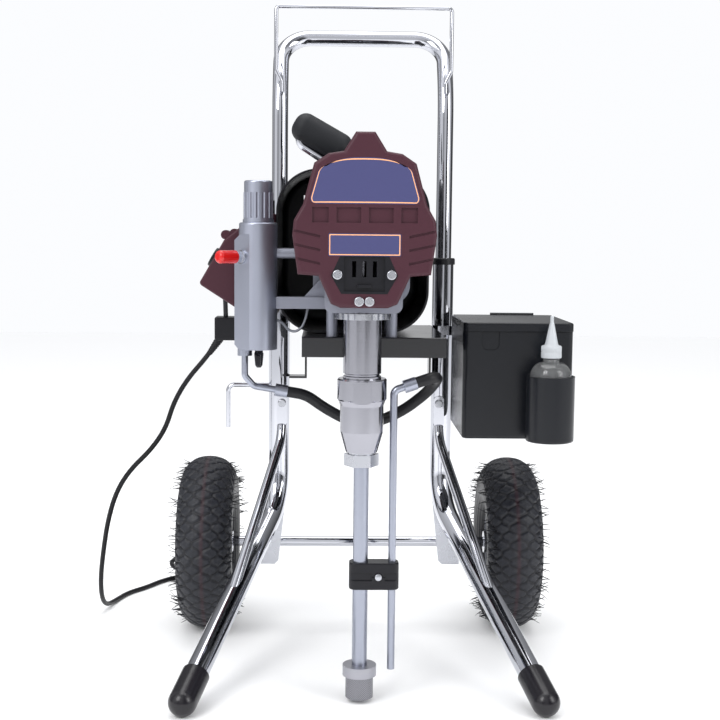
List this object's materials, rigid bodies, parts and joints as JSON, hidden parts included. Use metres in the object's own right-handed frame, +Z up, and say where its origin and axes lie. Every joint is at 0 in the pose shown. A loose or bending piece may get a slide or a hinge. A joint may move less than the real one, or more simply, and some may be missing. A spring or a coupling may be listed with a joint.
{
  "type": "airless paint sprayer",
  "caption": "Upright airless paint sprayer on a wheeled chrome cart, with motor drive, piston pump, suction tube, paint filter, tool box and telescoping handle",
  "frame": {"origin": "floor under the middle of the machine's width and depth, the power cord left out", "axes": "+Z up, -Y towards the operator at the pump side, +X to the right as seen from the front"},
  "size_m": [0.7095, 0.7335, 0.965],
  "materials": {
    "chrome_tube": "bright chrome-plated steel",
    "zinc_steel": "zinc-plated steel",
    "rim_steel": "grey paint",
    "tyre": "diamond tread rubber",
    "black_rubber": "moulded",
    "black_plastic": "fine grain",
    "platform_paint": "glossy black",
    "cast_aluminium": "sand-cast, silver paint",
    "maroon_plastic": "moulded, fine grain",
    "machined_steel": "turned steel",
    "anodised": "satin anodised",
    "red_cap": "soft red plastic",
    "bottle": "translucent",
    "cord": "black cord"
  },
  "bodies": {
    "cart": {"axle": "chrome_tube", "axle_brackets": "zinc_steel", "carry_grip": "black_rubber", "carry_handle": "chrome_tube", "control_box": "maroon_plastic", "cord_coil": "cord", "cord_gland": "black_plastic", "cover_screws": "zinc_steel", "drain_fittings": "machined_steel", "drain_hose": "black_rubber", "drain_tube": "machined_steel", "drive_housing": "cast_aluminium", "filter_cap": "anodised", "filter_element": "machined_steel", "filter_housing": "anodised", "foot_caps": "black_rubber", "frame_hardware": "zinc_steel", "frame_hooks": "chrome_tube", "frame_leg_left": "chrome_tube", "frame_leg_right": "chrome_tube", "front_cover": "maroon_plastic", "hub_bushes": "black_plastic", "intake_valve": "machined_steel", "jam_nut": "zinc_steel", "leg_braces": "chrome_tube", "motor_can": "cast_aluminium", "motor_cowl": "black_plastic", "outlet_cap": "red_cap", "outlet_fitting": "machined_steel", "platform_tray": "platform_paint", "plug": "cord", "power_cord": "cord", "pump_cylinder": "chrome_tube", "sensor_cable": "cord", "sleeve_collars": "black_plastic", "strainer": "machined_steel", "suction_nut": "machined_steel", "suction_tube": "machined_steel", "toolbox": "black_plastic", "tube_clip": "black_plastic"},
    "handle": {"handle_tube": "chrome_tube", "wire_rack": "chrome_tube"},
    "wheel_left": {"tyre_left": "tyre", "rim_left": "rim_steel"},
    "wheel_right": {"tyre_right": "tyre", "rim_right": "rim_steel"},
    "crank": {"crank_gear": "machined_steel"},
    "layshaft": {"reduction_gear": "machined_steel"},
    "rotor": {"motor_rotor": "machined_steel", "cooling_fan": "black_plastic"},
    "pump_rod": {"piston_rod": "machined_steel", "rod_yoke": "machined_steel"},
    "ball": {"intake_ball": "machined_steel"},
    "door": {"rod_door": "black_plastic"},
    "box_lid": {"toolbox_lid": "black_plastic"},
    "bottle": {"oil_bottle": "bottle", "bottle_cap": "bottle"},
    "knob": {"pressure_knob": "black_plastic"},
    "switch": {"power_switch": "black_plastic"},
    "prime_valve": {"prime_lever": "black_plastic"}
  },
  "joints": [
    {"name": "left_wheel_spin", "type": "hinge", "parent": "cart", "child": "wheel_left", "pos_m": [-0.243, 0.141, 0.135], "axis": [1, 0, 0], "continuous": true},
    {"name": "right_wheel_spin", "type": "hinge", "parent": "cart", "child": "wheel_right", "pos_m": [0.233, 0.141, 0.135], "axis": [1, 0, 0], "continuous": true},
    {"name": "handle_slide", "type": "slide", "parent": "cart", "child": "handle", "axis": [0, 0, 1], "range_m": [-0.21, 0]},
    {"name": "motor_spin", "type": "hinge", "parent": "cart", "child": "rotor", "pos_m": [-0.011, 0.057, 0.622], "axis": [0, 1, 0], "continuous": true},
    {"name": "layshaft_spin", "type": "hinge", "parent": "cart", "child": "layshaft", "pos_m": [-0.011, -0.121, 0.577], "axis": [0, 1, 0], "continuous": true},
    {"name": "crank_spin", "type": "hinge", "parent": "cart", "child": "crank", "pos_m": [-0.011, -0.121, 0.64], "axis": [0, 1, 0], "continuous": true},
    {"name": "pump_stroke", "type": "slide", "parent": "cart", "child": "pump_rod", "axis": [0, 0, 1], "range_m": [-0.019, 0.019]},
    {"name": "intake_ball_lift", "type": "slide", "parent": "cart", "child": "ball", "axis": [0, 0, 1], "range_m": [0, 0.004]},
    {"name": "rod_door_slide", "type": "slide", "parent": "cart", "child": "door", "axis": [0, 0, 1], "range_m": [0, 0.03]},
    {"name": "toolbox_lid_hinge", "type": "hinge", "parent": "cart", "child": "box_lid", "pos_m": [0.209, 0.079, 0.5033], "axis": [-1, 0, 0], "range_deg": [0, 90]},
    {"name": "bottle_lift", "type": "slide", "parent": "cart", "child": "bottle", "axis": [0, 0, 1], "range_m": [0, 0.09]},
    {"name": "pressure_knob_turn", "type": "hinge", "parent": "cart", "child": "knob", "pos_m": [-0.219, 0.057, 0.58244], "axis": [-0.866, 0, 0.5], "range_deg": [0, 270]},
    {"name": "power_switch_toggle", "type": "hinge", "parent": "cart", "child": "switch", "pos_m": [-0.138, -0.007, 0.655], "axis": [-1, 0, 0], "range_deg": [0, 24]},
    {"name": "prime_valve_turn", "type": "hinge", "parent": "cart", "child": "prime_valve", "pos_m": [-0.15, -0.129, 0.467], "axis": [0, 0, 1], "range_deg": [0, 90]}
  ],
  "couplings": [
    {"joint": "layshaft_spin", "follows": "motor_spin", "ratio": -0.25},
    {"joint": "crank_spin", "follows": "motor_spin", "ratio": 0.071429}
  ]
}
